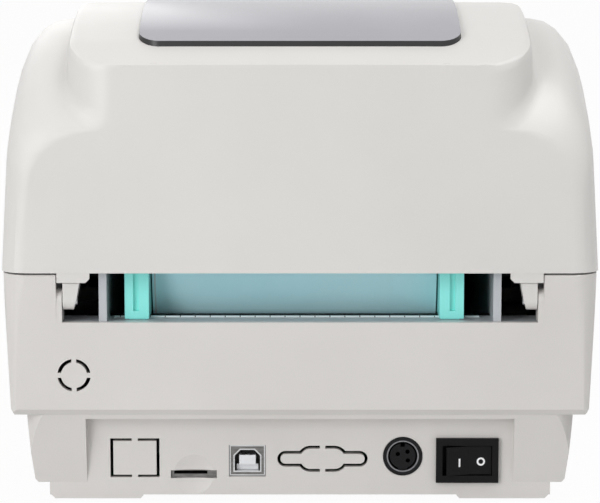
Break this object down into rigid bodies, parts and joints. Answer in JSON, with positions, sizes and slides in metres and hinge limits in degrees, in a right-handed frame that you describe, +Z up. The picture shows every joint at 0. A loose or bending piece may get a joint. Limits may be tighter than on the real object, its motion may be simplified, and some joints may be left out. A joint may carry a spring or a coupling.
{
  "type": "label printer",
  "caption": "Desktop barcode label printer with a hinged lid, a drop-in roll, a geared platen drive, a rear media slot and a recessed port panel.",
  "frame": {"origin": "middle of the footprint, on the table", "axes": "+Z up; +Y towards the rear with the ports; +X to the left of a viewer who faces the rear"},
  "size_m": [0.1978, 0.236, 0.1652],
  "materials": {
    "shell_white": "warm white moulded ABS, fine spark texture, slightly glossy",
    "casing_white": "light warm grey moulded ABS, fine spark texture",
    "smoked_window": "smoked translucent moulding, polished",
    "dark_plastic": "black moulded plastic",
    "gloss_black": "black moulded plastic, polished",
    "frame_grey": "light grey moulded plastic",
    "guide_green": "mint green moulded plastic",
    "white_plastic": "white acetal, moulded",
    "rubber_black": "black rubber",
    "platen_rubber": "ground silicone rubber",
    "steel": "zinc plated steel",
    "stamped_steel": "tinned sheet steel, folded",
    "ground_steel": "ground steel rod",
    "spring_steel": "drawn spring wire",
    "motor_steel": "black lacquered can with plain steel flange",
    "brass": "hobbed brass",
    "aluminium": "extruded and machined",
    "ceramic": "glazed substrate",
    "pcb": "solder mask on glass laminate",
    "liner_blue": "glassine release liner, wound",
    "core_board": "spiral wound board",
    "lens_clear": "clear light guide"
  },
  "bodies": {
    "base": {"base_tray": "casing_white", "rubber_feet": "rubber_black", "housing_screws": "steel", "mid_casing": "casing_white", "hinge_pins": "ground_steel", "media_frame": "frame_grey", "media_trough": "dark_plastic", "frame_screws": "steel", "side_decks": "dark_plastic", "main_board": "pcb", "board_chips": "gloss_black", "board_capacitors": "aluminium", "usb_shell": "stamped_steel", "usb_tongue": "white_plastic", "card_socket": "stamped_steel", "power_socket": "dark_plastic", "power_socket_ring": "stamped_steel", "switch_frame": "gloss_black", "guide_pinion_pin": "steel", "platen_bearings": "dark_plastic", "idler_axle": "steel", "stepper_motor": "motor_steel", "motor_screws": "steel", "label_guide_plate": "dark_plastic", "label_sensor": "gloss_black", "tear_bar": "stamped_steel", "status_lens": "lens_clear", "button_board": "pcb"},
    "lid": {"lid_shell": "shell_white", "lid_window": "smoked_window", "hinge_lugs": "shell_white", "head_carrier": "dark_plastic", "catch_pins": "ground_steel", "head_bracket": "stamped_steel", "head_springs": "spring_steel"},
    "print_head": {"heat_sink": "aluminium", "print_head_bar": "ceramic"},
    "rocker": {"switch_rocker": "gloss_black"},
    "guide_left": {"media_guide_left": "guide_green"},
    "guide_right": {"media_guide_right": "guide_green"},
    "pinion": {"guide_pinion": "white_plastic"},
    "roll": {"label_roll": "liner_blue", "roll_core": "core_board"},
    "platen": {"platen_shaft": "ground_steel", "platen_rubber": "platen_rubber", "platen_gear": "white_plastic"},
    "idler": {"idler_gear": "white_plastic"},
    "rotor": {"motor_pinion": "brass"},
    "button": {"feed_button": "frame_grey"},
    "latch": {"latch_shaft": "ground_steel", "latch_hooks": "dark_plastic", "release_levers": "frame_grey", "latch_spring": "spring_steel"}
  },
  "joints": [
    {"name": "lid_hinge", "type": "hinge", "parent": "base", "child": "lid", "pos_m": [0, 0.1145, 0.0688], "axis": [-1, 0, 0], "range_deg": [0, 95]},
    {"name": "head_float", "type": "slide", "parent": "lid", "child": "print_head", "axis": [0, 0, 1], "range_m": [0, 0.0012], "stiffness_N_per_m": 6000, "springref_m": -0.002, "deforming": ["head_springs"]},
    {"name": "power_rocker", "type": "hinge", "parent": "base", "child": "rocker", "pos_m": [-0.05595, 0.109, 0.01395], "axis": [0, 0, -1], "range_deg": [0, 20]},
    {"name": "guide_slide_left", "type": "slide", "parent": "base", "child": "guide_left", "axis": [1, 0, 0], "range_m": [0, 0.005]},
    {"name": "guide_slide_right", "type": "slide", "parent": "base", "child": "guide_right", "axis": [-1, 0, 0], "range_m": [0, 0.005]},
    {"name": "guide_pinion_turn", "type": "hinge", "parent": "base", "child": "pinion", "pos_m": [0.0019, 0.1058, 0.052], "axis": [0, 0, -1], "range_deg": [0, 60]},
    {"name": "roll_turn", "type": "hinge", "parent": "base", "child": "roll", "pos_m": [0, 0.046, 0.0885], "axis": [1, 0, 0], "continuous": true},
    {"name": "platen_turn", "type": "hinge", "parent": "base", "child": "platen", "pos_m": [0, -0.087, 0.0715], "axis": [1, 0, 0], "continuous": true},
    {"name": "idler_turn", "type": "hinge", "parent": "base", "child": "idler", "pos_m": [0, -0.07528, 0.05784], "axis": [1, 0, 0], "continuous": true},
    {"name": "motor_turn", "type": "hinge", "parent": "base", "child": "rotor", "pos_m": [0, -0.052, 0.052], "axis": [1, 0, 0], "continuous": true},
    {"name": "feed_button_press", "type": "slide", "parent": "base", "child": "button", "axis": [0, 1, 0], "range_m": [0, 0.0012], "stiffness_N_per_m": 800, "springref_m": -0.001},
    {"name": "latch_turn", "type": "hinge", "parent": "base", "child": "latch", "pos_m": [0, -0.096, 0.046], "axis": [1, 0, 0], "range_deg": [0, 12], "stiffness_Nm_per_rad": 0.5, "springref_deg": -5.73}
  ],
  "couplings": [
    {"joint": "guide_slide_right", "follows": "guide_slide_left", "ratio": 1},
    {"joint": "guide_pinion_turn", "follows": "guide_slide_left", "rad_per_m": 185.19},
    {"joint": "idler_turn", "follows": "platen_turn", "ratio": -2},
    {"joint": "motor_turn", "follows": "platen_turn", "ratio": 6}
  ]
}
